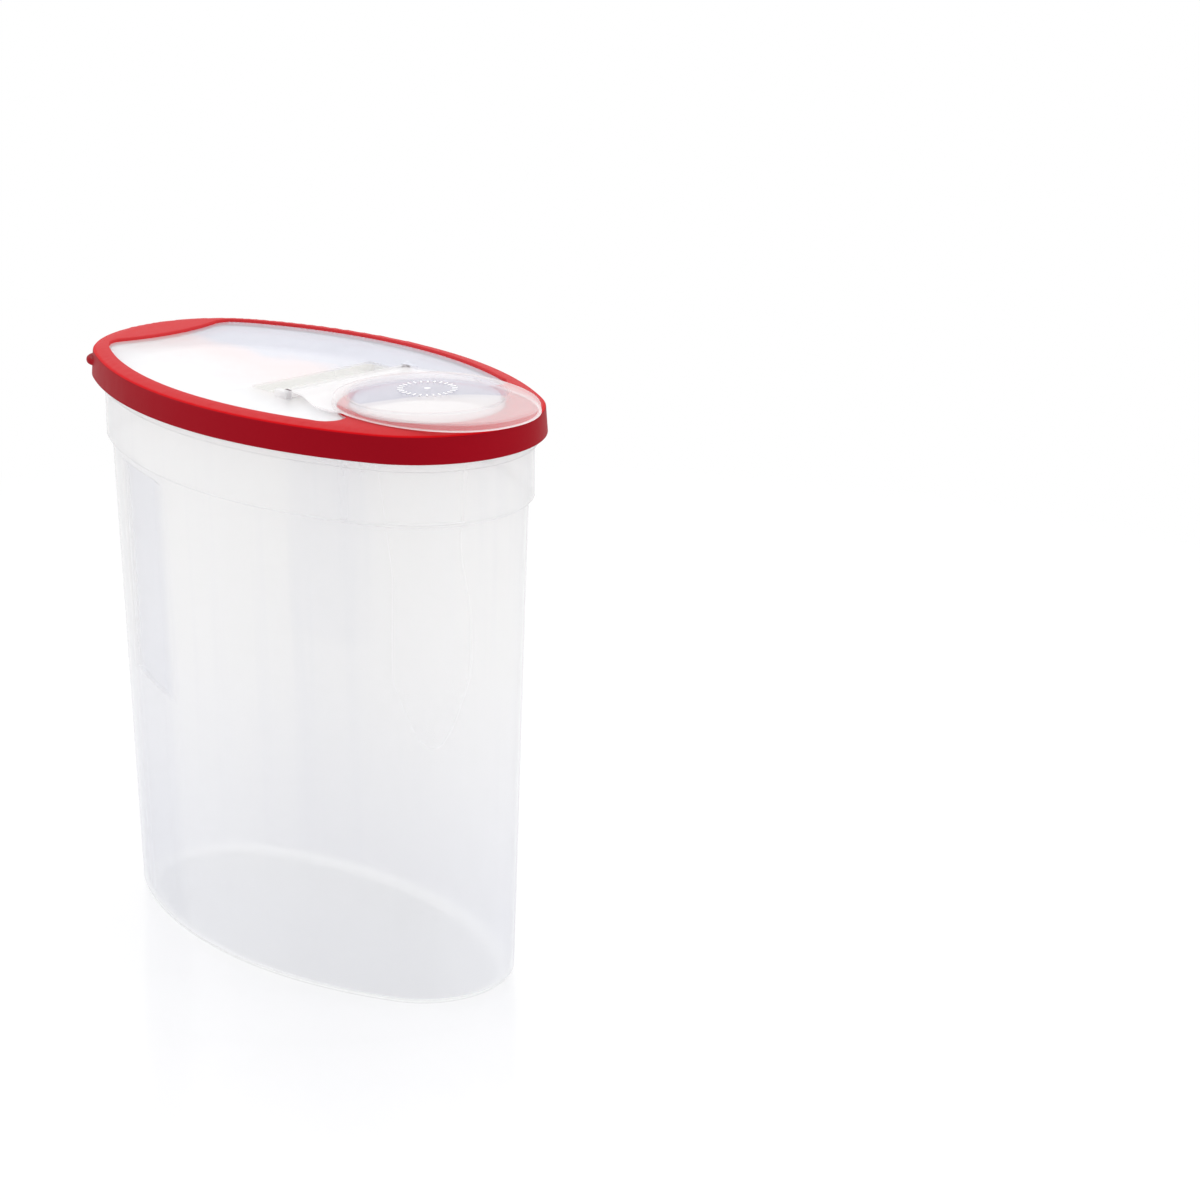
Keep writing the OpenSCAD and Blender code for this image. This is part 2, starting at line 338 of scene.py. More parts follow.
SHOULDER_Z, WALL, FLOOR_Z = 218.0, 1.6, 2.0
FOOT_INSET, SHOULDER_INSET = 14.9, 8.1
GRIP_REAR, GRIP_FRONT, REAR_SLOPE, FRONT_SLOPE = -76.4, -26.8, 4.5, 15.5
GRIP_FOOT, GRIP_STEP, GRIP_TOP = 5.0, 115.0, 215.0
GRIP_DEEP, GRIP_SHALLOW = 3.0, 1.4


def wall_inset(z):
    return FOOT_INSET + (SHOULDER_INSET - FOOT_INSET) * z / SHOULDER_Z


def ease(low, high, value):
    t = min(max((value - low) / (high - low), 0), 1)
    return t * t * (3 - 2 * t)


def grip_depth(across, z, margin):
    """Depth of a finger grip: a short slope at its rear, a long one at its front, and a step in its floor."""
    rear = ease(GRIP_REAR - margin, GRIP_REAR - margin + REAR_SLOPE, across)
    front = min(max((GRIP_FRONT + margin - across) / FRONT_SLOPE, 0), 1)
    front = 0.75 * front + 0.25 * ease(0, 1, front)
    step = GRIP_STEP - margin - 0.05 * (across + 60)
    deep = ease(step - 0.8, step + 0.8, z)
    foot_end = ease(GRIP_FOOT - 1, GRIP_FOOT + 1.5, z)
    top_end = 1 - ease(GRIP_TOP + margin - 2.2, GRIP_TOP + margin, z)
    return rear * front * foot_end * top_end * (GRIP_SHALLOW + (GRIP_DEEP - GRIP_SHALLOW) * deep)


# Columns of the side walls as (from x, to x, how many), for a wall of inset 12. They are denser over the
# grips' slopes, and the grips' edges follow them, so that no edge runs across the mesh in steps.
COLUMN_R = SIDE_R - 12
COLUMN_SPANS = ((-91.76, -80, 8), (-80, -70, 20), (-70, -45, 14), (-45, -39, 10), (-39, -30, 8),
                (-30, -24, 12), (-24, 91.76, 44))
COLUMNS = [math.acos((start + (stop - start) * k / count) / COLUMN_R)
           for start, stop, count in COLUMN_SPANS for k in range(count)]
END_TURNS = [-CORNER + 2 * CORNER * k / 44 for k in range(44)]


def tub_loop(z, inset, margin=None):
    """One level of the tub's wall. A margin of 0 or more presses the grips into it."""
    points = []
    for side in (-1, 1):
        row = []
        for angle in COLUMNS:
            depth = 0 if margin is None else grip_depth(COLUMN_R * math.cos(angle), z, margin)
            radius = SIDE_R - inset - depth
            row.append((radius * math.cos(angle), side * (radius * math.sin(angle) - SIDE_Y), z))
        if side == 1:
            row = list(reversed(row[1:] + [oval_point((END_X, 0, END_R, CORNER), inset, z)]))
        middle = 0 if side == -1 else math.pi
        points += row + [oval_point((-side * END_X, 0, END_R, middle + turn), inset, z) for turn in END_TURNS]
    return points


def foot_levels(radius, base, inset, margin, turns):
    """Levels of the rounded foot, which ends at an inset."""
    for turn in turns:
        yield (base + radius * (1 - math.cos(turn)), inset + radius * (1 - math.sin(turn)), margin)


wall_levels = [6.2, 6.8, 7.5, 9, 12] + [18 + 8 * k for k in range(11)]
wall_levels += [104, 107, 110] + [111.5 + 0.5 * k for k in range(15)] + [120]
wall_levels += [126 + 8 * k for k in range(11)]
wall_levels += [210, 212, 212.8, 213.4, 214, 214.6, 215.2, 215.8, 216.4]
quarter = [math.radians(90 * k / 8) for k in range(9)]
upper = section([
    (wall_inset(217), 217, 0), (SHOULDER_INSET, SHOULDER_Z, 0.5), (5.6, 219.5, 0.9), (5.6, 242.7, 0.6),
    (4.0, 242.7, 0.5), (4.0, 246.7, 0.6), (5.6, 246.7, 0.4), (5.6, 253.9, 0.4), (4.6, 254.2, 0.4),
    (4.6, 255.7, 0.6), (7.2, 255.7, 0.6), (7.2, 219.9, 1.2), (9.7, 218.2, 1.2),
    (wall_inset(216.4) + WALL, 216.4, 0)])

outer_levels = [(0.7, 26, None), (0.7, 22.6, None), (0.0, 21.8, None)]
outer_levels += foot_levels(4.0, 0, wall_inset(4.0), 0, quarter)
outer_levels += [(z, wall_inset(z), 0) for z in wall_levels]
outer_levels += [(z, inset, None) for inset, z in upper]
inner_levels = [(z, wall_inset(z) + WALL, WALL) for z in reversed(wall_levels[:-1])]
inner_levels += foot_levels(3.2, FLOOR_Z, wall_inset(5.2) + WALL, WALL, reversed(quarter))
inner_levels += [(FLOOR_Z, 26, None)]

tub = Shell()
levels = [tub.loop(tub_loop(*level)) for level in outer_levels]
inner_first = len(tub.points)
levels += [tub.loop(tub_loop(*level)) for level in inner_levels]
tub.strips(levels)
tub.fan(levels[0], (0, 0, 0.7), turned=True)
tub.fan(levels[-1], (0, 0, FLOOR_Z))

# How deep each point lies in a grip, for the material, which paints shade into the grips as a darker, cooler
# tone.
hollow = []
for k, (x, y, z) in enumerate(tub.points):
    in_by = inset_of(x, y) - wall_inset(z) - (WALL if k >= inner_first else 0)
    hollow.append(min(max(in_by / GRIP_DEEP, 0), 1) if GRIP_FOOT < z < GRIP_TOP + WALL else 0)

milky = Finish("milky_polypropylene")
cloud = milky.noise(9, (1, 1, 0.5), 2.0)
grain = milky.noise(900, (1, 1, 1), 2.0)
flow = milky.noise(40, (1, 1, 0.06), 3.0)
streaks = milky.noise(70, (1, 1, 0.02), 3.0, 0.6)
off_floor = milky.height(0.0021, 0.0035)
upper_part = milky.height(0.03, 0.15)
edge = milky.facing(0.3)
# Painted shade: the wall is painted darker and cooler towards its foot.
shaded_low_tint = milky.blend(cloud, (0.90, 0.905, 0.945, 1), (0.93, 0.935, 0.96, 1))
high_tint = milky.blend(cloud, (0.975, 0.97, 0.96, 1), (1.0, 0.995, 0.98, 1))
streaked = milky.blend(((streaks - 0.5) * 2.4).clip(), high_tint, (0.90, 0.905, 0.93, 1))
wall_tint = milky.blend(upper_part, shaded_low_tint, streaked)
# Painted shade: the grips are painted a darker, cooler tone by their depth.
grip_shade = milky.node("ShaderNodeAttribute", {"attribute_name": "hollow"}, out="Fac")
grip_shaded_tint = milky.blend(grip_shade * 0.8, wall_tint, (0.80, 0.81, 0.865, 1))
# Painted shade: the wall is painted darker along the object's outline, where it is seen edge on.
outline_shade_tint = milky.blend((edge * edge * edge).clip(), grip_shaded_tint, (0.72, 0.73, 0.755, 1))
# Painted shade: the floor is painted a darker, greener grey.
tint = milky.blend(off_floor, (0.76, 0.80, 0.78, 1), outline_shade_tint)
cover = ((0.25 + cloud * 0.08 - upper_part * 0.06 + edge * 0.32) * (0.16 + off_floor * 0.84)).clip()
skin = milky.node("ShaderNodeBsdfPrincipled", None, {
    "Base Color": tint,
    "Roughness": (0.17 + flow * 0.1).clip(),
    "IOR": 1.49,
    "Alpha": cover,
    "Normal": milky.bump(grain * 0.4 + flow * 0.6, 0.12, 0.0004)})
inner_light = milky.mix(cover, milky.node("ShaderNodeBsdfTransparent"), milky.node(
    "ShaderNodeBsdfTranslucent", None, {"Color": tint}))
tub_piece = make_piece("tub", tub.data("tub"), milky.shade(milky.mix(0.35, skin, inner_light)))
tub_piece.data.attributes.new("hollow", "FLOAT", "POINT").data.foreach_set("value", hollow)
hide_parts("container")
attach(tub_piece, "container")


# ---------------------------------------------------------------- Lid rim
# The red rim is a soft moulding bonded round the clear panel. Its section runs round the oval, and its top
# layer spreads over the panel behind, in front and round the pour opening, leaving the clear window.
CREASE_Z, TOP_Z = 258.9, 260.3
SKIRT_EDGE = (2.4, 259.1)
SPOUT_X, SPOUT_R, SLEEVE_R, GASKET_R = 77.0, 33.0, 35.0, 38.0
TOP_INSET, HORN_X, HORN_R = 8.2, 65.0, 8.2
BOW_X, BOW_R, BOW_HALF, BOW_CORNER, END_TURN = -100.0, 81.0, 26.5, 0.372, 0.82
LID_HALF_LENGTH, LID_HALF_WIDTH = 126, 72


def top_height(x, y):
    """Height of the rim's top face: it climbs from the skirt's crease to the window's edge."""
    return CREASE_Z + 0.1 + (TOP_Z - CREASE_Z - 0.1) * ease(-3.5, 8.6, inset_of(x, y) - 0.5)


def arc_points(x, y, radius, start, stop, count):
    return [(x + radius * math.cos(start + (stop - start) * k / count),
             y + radius * math.sin(start + (stop - start) * k / count)) for k in range(count)]


def circle(radius, z, count=120):
    """A level circle round the middle of the pour opening."""
    return [(x, y, z) for x, y in arc_points(SPOUT_X, 0, radius, 0, 2 * math.pi, count)]


def window_loop(shrink=0.0):
    """The window's outline. A positive shrink widens the opening into the red."""
    band_y = math.sqrt((SIDE_R - TOP_INSET) ** 2 - HORN_X ** 2) - SIDE_Y
    ring_y = math.sqrt(GASKET_R ** 2 - (SPOUT_X - HORN_X) ** 2)
    # Along the gasket's ring, round the horn, back along the side band and into the rear end's arc.
    upper = arc_points(SPOUT_X, 0, GASKET_R - shrink, math.pi, math.atan2(ring_y, HORN_X - SPOUT_X), 40)
    upper += arc_points(HORN_X, (band_y + ring_y) / 2, HORN_R + shrink, -math.pi / 2, math.pi / 2, 24)
    band_start = math.atan2(band_y + SIDE_Y, HORN_X)
    upper += arc_points(0, -SIDE_Y, SIDE_R - TOP_INSET + shrink, band_start, math.pi - CORNER, 120)
    end_r, end_stop = END_R - TOP_INSET + shrink, math.pi - END_TURN
    upper += arc_points(-END_X, 0, end_r, math.pi - CORNER, end_stop, 10)
    # A soft corner leads into the rear field's bowed edge.
    bow_centre, bow_r, bow_start = BOW_X - BOW_R, BOW_R - shrink, math.asin(BOW_HALF / BOW_R)
    start = Vector((-END_X + end_r * math.cos(end_stop), end_r * math.sin(end_stop)))
    corner = Vector((bow_centre + bow_r * math.cos(BOW_CORNER), bow_r * math.sin(BOW_CORNER)))
    stop = Vector((bow_centre + bow_r * math.cos(bow_start), bow_r * math.sin(bow_start)))
    upper += bend(start, corner, stop, [k / 10 for k in range(10)])
    upper += arc_points(bow_centre, 0, bow_r, bow_start, 0, 16)
    upper.append((bow_centre + bow_r, 0))
    return upper + [(x, -y) for x, y in reversed(upper[1:-1])]


def fill(shell, loops, height, keep, spacing=None, turned=False):
    """Fills the region between loops with small faces whose height follows a rule."""
    points, edges, index = [], [], []
    for ring in loops:
        first = len(points)
        points += [Vector(shell.points[i][:2]) for i in ring]
        index += ring
        edges += [(first + k, first + (k + 1) % len(ring)) for k in range(len(ring))]
    if spacing:
        rows = int(LID_HALF_WIDTH / spacing) + 1
        columns = int(LID_HALF_LENGTH / spacing) + 1
        for i in range(-columns, columns + 1):
            for j in range(-rows, rows + 1):
                x, y = (i + 0.5 * (j % 2)) * spacing, j * spacing
                if keep(x, y):
                    points.append(Vector((x, y)))
    corners, _, faces, sources, _, _ = delaunay_2d_cdt(points, edges, [], 0, 1e-5)
    known = {}
    for k, (corner, source) in enumerate(zip(corners, sources)):
        fixed = [s for s in source if s < len(index)]
        known[k] = index[fixed[0]] if fixed else shell.loop([(corner.x, corner.y, height(*corner))])[0]
    for face in faces:
        middle = sum((corners[k] for k in face), Vector((0, 0))) / len(face)
        if keep(middle.x, middle.y, True):
            turn = reversed(face) if turned else face
            shell.faces.append(tuple(known[k] for k in turn))


def inside(x, y, ring):
    hit = False
    for (x0, y0), (x1, y1) in zip(ring, ring[1:] + ring[:1]):
        if (y0 > y) != (y1 > y) and x < (x1 - x0) * (y - y0) / (y1 - y0) + x0:
            hit = not hit
    return hit


class Graph:
    """A Geometry Nodes tree, with named sizes, that is run once on an object and leaves a plain mesh."""

    def __init__(self, name):
        self.tree = bpy.data.node_groups.new(name, "GeometryNodeTree")
        self.given = self.tree.nodes.new("NodeGroupInput")
        self.inputs = {}
        self.size("Geometry", "Geometry")
        self.tree.interface.new_socket("Geometry", in_out="OUTPUT", socket_type="NodeSocketGeometry")

    def size(self, name, kind="Float"):
        item = self.tree.interface.new_socket(name, in_out="INPUT", socket_type="NodeSocket" + kind)
        self.inputs[name] = item.identifier
        return self.given.outputs[name]

    def node(self, kind, settings=None, sockets=None, out=0):
        node = self.tree.nodes.new(kind)
        for name, value in (settings or {}).items():
            setattr(node, name, value)
        for name, value in (sockets or {}).items():
            feed(self.tree, node.inputs[name], value)
        return node.outputs[out]

    def grow(self, base, result, finish, sizes):
        """Ends the tree in real, finished geometry, runs it on base and returns the mesh."""
        real = self.node("GeometryNodeRealizeInstances", None, {"Geometry": result})
        done = self.node("GeometryNodeSetMaterial", None, {"Geometry": real, "Material": finish})
        feed(self.tree, self.tree.nodes.new("NodeGroupOutput").inputs["Geometry"], done)
        maker = base.modifiers.new(self.tree.name, "NODES")
        maker.node_group = self.tree
        for name, value in sizes.items():
            maker[self.inputs[name]] = value
        data = bpy.data.meshes.new_from_object(base.evaluated_get(bpy.context.evaluated_depsgraph_get()))
        base.modifiers.remove(maker)
        bpy.data.objects.remove(base)
        return data


def traced(name, points, closed):
    """A curve of straight steps through points in millimetres."""
    line = bpy.data.curves.new(name, "CURVE")
    line.dimensions, line.twist_mode = "3D", "Z_UP"
    run = line.splines.new("POLY")
    run.points.add(len(points) - 1)
    run.use_cyclic_u = closed
    for spot, (x, y, z) in zip(run.points, points):
        spot.co = (x * mm, y * mm, z * mm, 1)
    holder = bpy.data.objects.new(name, line)
    bpy.context.scene.collection.objects.link(holder)
    return holder


def weld(name, meshes):
    """Joins meshes that share edges into one."""
    joined = bmesh.new()
    for data in meshes:
        joined.from_mesh(data)
    bmesh.ops.remove_doubles(joined, verts=joined.verts, dist=0.00001)
    data = bpy.data.meshes.new(name)
    joined.to_mesh(data)
    joined.free()
    return data


red = Finish("red_soft_rim")
grain = red.noise(1400, (1, 1, 1), 3.0, 0.6)
wash = red.noise(14, (1, 1, 1), 2.0)
scuff = red.noise(260, (1, 1, 0.25), 4.0, 0.7)
# Painted light: the one red is painted darker on the side as shade and lighter on the top as light, with a
# painted highlight of saturated red along the crease.
shaded_side_red = red.blend(wash, (0.27, 0.001, 0.007, 1), (0.33, 0.002, 0.010, 1))
lit_top_red = red.blend(wash, (0.55, 0.030, 0.036, 1), (0.64, 0.042, 0.046, 1))
lit_top_and_crease_highlight = red.blend(red.height(0.25895, 0.25915), (0.62, 0.002, 0.006, 1), lit_top_red)
red_finish = red.shade(red.node("ShaderNodeBsdfPrincipled", None, {
    "Base Color": red.blend(red.height(0.2583, 0.2586), shaded_side_red, lit_top_and_crease_highlight),
    "Roughness": (0.38 + scuff * 0.16).clip(),
    "IOR": 1.25,
    "Specular IOR Level": 0.15,
    "Normal": red.bump(grain * 0.7 + scuff * 0.3, 0.18, 0.0003)}))

# The skirt: one section is swept round the oval.
lid_stops = oval_stops(48, 84)
sweep = Graph("swept_skirt")
profile = sweep.node("GeometryNodeObjectInfo", None, {
    "Object": sweep.size("Section", "Object")}, out="Geometry")
rounded = sweep.node("GeometryNodeFilletCurve", {"mode": "POLY"}, {
    "Curve": profile, "Radius": sweep.size("Corner Rounding"), "Count": sweep.size("Rounding Steps", "Int")})
swept = sweep.node("GeometryNodeCurveToMesh", None, {
    "Curve": sweep.given.outputs["Geometry"], "Profile Curve": rounded})
skirt_corners = [(3.7, 257.6), (3.7, 247.0), (0.0, 247.0), (0.8, 258.2), (1.5, 258.95), SKIRT_EDGE]
skirt_section = traced("skirt_section", [(-inset, -z, 0) for inset, z in reversed(skirt_corners)], False)
skirt_path = traced("skirt_path", [oval_point(stop, 0, 0) for stop in lid_stops], True)
skirt_mesh = sweep.grow(skirt_path, swept, red_finish, {
    "Section": skirt_section, "Corner Rounding": 0.0005, "Rounding Steps": 5})
bpy.data.objects.remove(skirt_section)


# The top layer starts from the skirt's own upper edge, so that the two weld into one.
def nearest_on_skirt(stop):
    wanted = Vector(oval_point(stop, *SKIRT_EDGE))
    return tuple(min(skirt_top, key=lambda point: (point - wanted).length))


rim = Shell()
skirt_top = [corner.co / mm for corner in skirt_mesh.vertices if corner.co.z > (SKIRT_EDGE[1] - 0.01) * mm]
outer_ring = rim.loop([nearest_on_skirt(stop) for stop in lid_stops])
drop = []
for shrink, z in ((0, 257.6), (0, 259.7), (0.08, 260.0), (0.3, 260.22), (0.7, TOP_Z)):
    drop.append(rim.loop([(x, y, z if z < 259.8 else min(z, top_height(x, y)))
                          for x, y in window_loop(shrink)]))
rim.strips(list(reversed(drop)))
mouth = [rim.loop(circle(SPOUT_R + wider, z))
         for wider, z in ((0, 253.4), (0, 259.8), (0.15, 260.15), (0.5, TOP_Z))]
rim.strips(list(reversed(mouth)))
edge_ring = window_loop(0.7)


def on_red(x, y, face=False):
    """Whether a place in plan lies on the top layer, with some room to its edges unless it is a face's."""
    gap = 0.0 if face else 0.9
    if inset_of(x, y) < SKIRT_EDGE[0] + gap or math.hypot(x - SPOUT_X, y) < SPOUT_R + 0.5 + gap:
        return False
    near = [(0, 0)] if face else [(0, 0), (gap, 0), (-gap, 0), (0, gap), (0, -gap)]
    return not any(inside(x + dx, y + dy, edge_ring) for dx, dy in near)


fill(rim, [outer_ring, drop[-1], mouth[-1]], top_height, on_red, spacing=2.0)
sleeve = [rim.loop(circle(radius, z)) for radius, z in (
    (SPOUT_R, 253.4), (SPOUT_R + 0.3, 253.1), (SLEEVE_R - 0.3, 253.1), (SLEEVE_R, 253.4), (SLEEVE_R, 257.2))]
rim.strips(sleeve)

# The pull tab: a round tongue on the skirt, a little to one side of the rear tip.
TAB_R, TAB_BACK, TAB_TURN = 9.0, END_R + 2.2 - 9.0, math.radians(235)
TAB_ROOT, TAB_LEAST, TAB_LOW, TAB_THICK = 52.4, 53.6, 252.4, 3.0
tab_half = [(0, 0), (0.6, 0), (0.82, 0.02), (0.93, 0.12), (0.985, 0.3)]
tab_profile = tab_half + [(1, 0.5)] + [(part, 1 - lift) for part, lift in reversed(tab_half)]
tab_spread = math.asin(TAB_R / TAB_BACK) * 0.97
tab_rows = []
for k in range(13):
    turn = -tab_spread + 2 * tab_spread * k / 12
    tip = TAB_BACK * math.cos(turn) + math.sqrt(max(TAB_R ** 2 - (TAB_BACK * math.sin(turn)) ** 2, 0))
    span = max(tip, TAB_LEAST) - TAB_ROOT
    tab_rows.append(rim.loop([
        (-END_X + (TAB_ROOT + span * part) * math.cos(TAB_TURN + turn),
         (TAB_ROOT + span * part) * math.sin(TAB_TURN + turn), TAB_LOW + TAB_THICK * lift)
        for part, lift in tab_profile]))
rim.strips(tab_rows, closed=False)

rim_piece = make_piece("rim", weld("rim", [skirt_mesh, rim.data("rim_top")]), red_finish)
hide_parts("lid_rim")
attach(rim_piece, "lid")


# ---------------------------------------------------------------- Lid panel
# The panel is a hard, clear moulding that closes the mouth under the red layer. A pocket behind the cap
# leaves room for its neck, and two cheeks beside the pocket hold the hinge's pins.
FACE_Z, UNDER_Z, FACE_INSET, UNDER_INSET = 258.9, 257.1, 8.2, 8.7
POCKET_REAR, POCKET_FRONT, POCKET_HALF = -1.0, 27.0, 33.4
HINGE_X, CHEEK_Y = 24.0, 35.0
CHEEK_LENGTH, CHEEK_WIDTH, CHEEK_LOW, CHEEK_TOP, CHEEK_EDGE = 9.0, 3.2, 257.6, 262.1, 0.8


def box_loop(x0, x1, half, corner):
    """A rectangle with round corners, with its middle line along X."""
    ring = []
    for x, y, turn in ((x1 - corner, half - corner, 0), (x0 + corner, half - corner, 90),
                       (x0 + corner, -half + corner, 180), (x1 - corner, -half + corner, 270)):
        for k in range(7):
            a = math.radians(turn + 15 * k)
            ring.append((x + corner * math.cos(a), y + corner * math.sin(a)))
    return ring


def pocket_loop(grow, z, corner):
    outline = box_loop(POCKET_REAR - grow, POCKET_FRONT + grow, POCKET_HALF + grow, corner)
    return panel.loop([(x, y, z) for x, y in outline])


def clear_field(least_inset, margin):
    """A test for places on a face of the panel, outside the pocket and the gasket's sleeve."""
    def keep(x, y, face=False):
        in_box = POCKET_REAR - margin < x < POCKET_FRONT + margin and abs(y) < POCKET_HALF + margin
        return inset_of(x, y) > least_inset and not in_box and math.hypot(x - SPOUT_X, y) > SLEEVE_R
    return keep


panel = Shell()
panel_line = [
    (UNDER_INSET, 247.3), (8.5, 247.0), (7.7, 247.0), (7.5, 247.3), (7.5, 256.0), (2.8, 256.0), (2.6, 256.2),
    (2.6, 257.4), (2.8, 257.6), (8.0, 257.6), (FACE_INSET, 257.8), (FACE_INSET, FACE_Z)]
plate = [panel.loop([oval_point(stop, inset, z) for stop in lid_stops]) for inset, z in panel_line]
panel.strips(plate)
under = panel.loop([oval_point(stop, UNDER_INSET, UNDER_Z) for stop in lid_stops])
panel.strip(under, plate[0])
pocket_top = [pocket_loop(grow, z, 2.0 + grow * 0.5) for grow, z in (
    (0.35, FACE_Z), (0.1, 258.8), (0, 258.55), (0, 255.6), (-0.3, 254.9), (-1.2, 254.4))]
panel.strips(pocket_top)
panel.fan(pocket_top[-1], (13, 0, 254.4))
pocket_under = [pocket_loop(grow, z, 3.0) for grow, z in (
    (1.5, UNDER_Z), (1.5, 254.2), (1.1, 253.3), (0.2, 252.9))]
panel.strips(list(reversed(pocket_under)))
panel.fan(pocket_under[-1], (13, 0, 252.9), turned=True)
under_hole, top_hole = [panel.loop(circle(SLEEVE_R, z)) for z in (UNDER_Z, FACE_Z)]
panel.strip(top_hole, under_hole)
fill(panel, [plate[-1], pocket_top[0], top_hole], lambda x, y: FACE_Z, clear_field(FACE_INSET, 0.3))
fill(panel, [under, pocket_under[0], under_hole], lambda x, y: UNDER_Z, clear_field(UNDER_INSET, 1.45),
     turned=True)
for side in (-1, 1):
    cheek = []
    for grow, z in ((0, CHEEK_LOW), (0, CHEEK_TOP - CHEEK_EDGE),
                    (-CHEEK_EDGE * 0.3, CHEEK_TOP - CHEEK_EDGE * 0.3), (-CHEEK_EDGE, CHEEK_TOP)):
        half = CHEEK_LENGTH / 2 + grow
        cheek.append(panel.loop([(HINGE_X + x, side * CHEEK_Y + y, z) for x, y in box_loop(
            -half, half, CHEEK_WIDTH / 2 + grow, CHEEK_EDGE)]))
    panel.strips(cheek)
    panel.fan(cheek[-1], (HINGE_X, side * CHEEK_Y, CHEEK_TOP))

# The window carries painted reflections: a cool one on its far side and a rosy one in its middle. The pocket
# is cream in tone.
clear = Finish("clear_panel")
haze = clear.noise(12, (1, 1, 1), 3.0)
fine = clear.noise(700, (1, 1, 1), 2.0)
spread = clear.noise(20, (0.6, 1.0, 1), 5.0, 0.62)
across, along = clear.axis("Y"), clear.axis("X")
# Painted reflections: a cool tone on the far side and a rosy one in the middle.
cool_reflection = (across + (spread - 0.5) * 0.05).past(0.004, 0.008)
rosy_reflection = (across + (spread - 0.5) * 0.06).past(-0.034, 0.03)
glassy = clear.blend(rosy_reflection, (0.97, 0.97, 0.98, 1), (0.99, 0.88, 0.88, 1))
reflected_tint = clear.blend(cool_reflection, glassy, (0.86, 0.87, 0.94, 1))
in_pocket = (1.0 - clear.height(0.2584, 0.2588)) * along.past((POCKET_REAR - 2.5) * mm, 0.0005) * (
    1.0 - along.past((POCKET_FRONT + 1.5) * mm, 0.0005)) * (
    1.0 - abs(across).past((POCKET_HALF + 1.1) * mm, 0.0005))
clear_body = clear.node("ShaderNodeBsdfPrincipled", None, {
    "Base Color": clear.blend(in_pocket, reflected_tint, (0.97, 0.965, 0.90, 1)),
    "Roughness": (0.1 + haze * 0.1).clip(),
    "IOR": 1.5,
    "Alpha": ((0.3 + haze * 0.14 + clear.facing(0.3) * 0.25) * (1.0 - in_pocket * 0.35)).clip(),
    "Normal": clear.bump(fine, 0.06, 0.0002)})
panel_piece = make_piece("panel", panel.data("panel"), clear.shade(clear_body))
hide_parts("lid_panel")
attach(panel_piece, "lid")


# ---------------------------------------------------------------- Flip cap
# The cap is one moulding of translucent polypropylene, held by two pins in the panel's cheeks: a lipped shell
# with a shallow dome over the pour opening, a plug ring that enters the gasket, and a neck with a knuckle.
NOSE, REAR, HALF, POWER = 54.5, 39.0, 39.5, 2.15
CAP_TOP, DOME_R, DOME_RISE, PLUG_IN, PLUG_OUT = 264.4, 34.8, 2.3, 31.2, 32.7
HINGE_Z, NECK_Y, KNUCKLE_R, PIN_R, PIN_END = 259.5, 33.0, 2.6, 1.5, 35.8
ROUND = 144


def cap_outline(inset):
    ring = []
    for k in range(ROUND):
        a = 2 * math.pi * k / ROUND
        c, s = math.cos(a), math.sin(a)
        length = (NOSE if c > 0 else REAR) - inset
        ring.append((SPOUT_X + length * math.copysign(abs(c) ** (2 / POWER), c),
                     (HALF - inset) * math.copysign(abs(s) ** (2 / POWER), s)))
    return ring


def cap_half(x):
    """Half the width of the cap's outline at a place along X."""
    length = NOSE if x > SPOUT_X else REAR
    return HALF * max(1 - min(abs(x - SPOUT_X) / length, 1) ** POWER, 0) ** (1 / POWER)


def dome_height(r):
    sphere = (DOME_R ** 2 + DOME_RISE ** 2) / (2 * DOME_RISE)
    return math.sqrt(sphere ** 2 - r ** 2) - sphere + DOME_RISE


cap = Shell()
brim_line = [(1.4, 263.0), (1.4, 261.0), (1.25, 260.7), (0.9, 260.6), (0.3, 260.6), (0.05, 260.75),
             (0, 261.1), (0.35, 263.4), (0.6, 264.0), (1.1, 264.32), (1.9, CAP_TOP)]
cap_rings = [cap.loop([(x, y, z) for x, y in cap_outline(inset)]) for inset, z in brim_line]
cap.strips(cap_rings)
# A raised ridge and a groove run round the dome.
dome_line = [(36.2, CAP_TOP), (35.6, 264.42), (35.25, 264.6), (35.0, 264.9), (34.7, 265.08), (34.3, 265.1),
             (34.0, 264.95), (33.8, 264.7), (33.5, 264.58), (33.1, 264.6), (32.7, 264.72), (32.0, 264.82)]
dome_line += [(r, CAP_TOP + dome_height(r)) for r in (31, 28, 25, 22, 19, 16, 13, 10, 7, 4, 2)]
dome_rings = [cap.loop(circle(r, z, ROUND)) for r, z in dome_line]
cap.strip(cap_rings[-1], dome_rings[0])
cap.strips(dome_rings)
cap.fan(dome_rings[-1], (SPOUT_X, 0, CAP_TOP + DOME_RISE))
under_line = [(2.0, 265.28), (10, 265.2), (19, 264.7), (28, 263.8), (30.9, 263.3),
              (PLUG_IN, 262.6), (PLUG_IN, 253.6), (31.45, 253.3), (32.4, 253.3),
              (PLUG_OUT, 253.7), (PLUG_OUT, 262.7), (33.1, 263.0)]
under_rings = [cap.loop(circle(r, z, ROUND)) for r, z in under_line]
cap.strips(under_rings)
cap.fan(under_rings[0], (SPOUT_X, 0, 265.3), turned=True)
cap.strip(under_rings[-1], cap_rings[0])

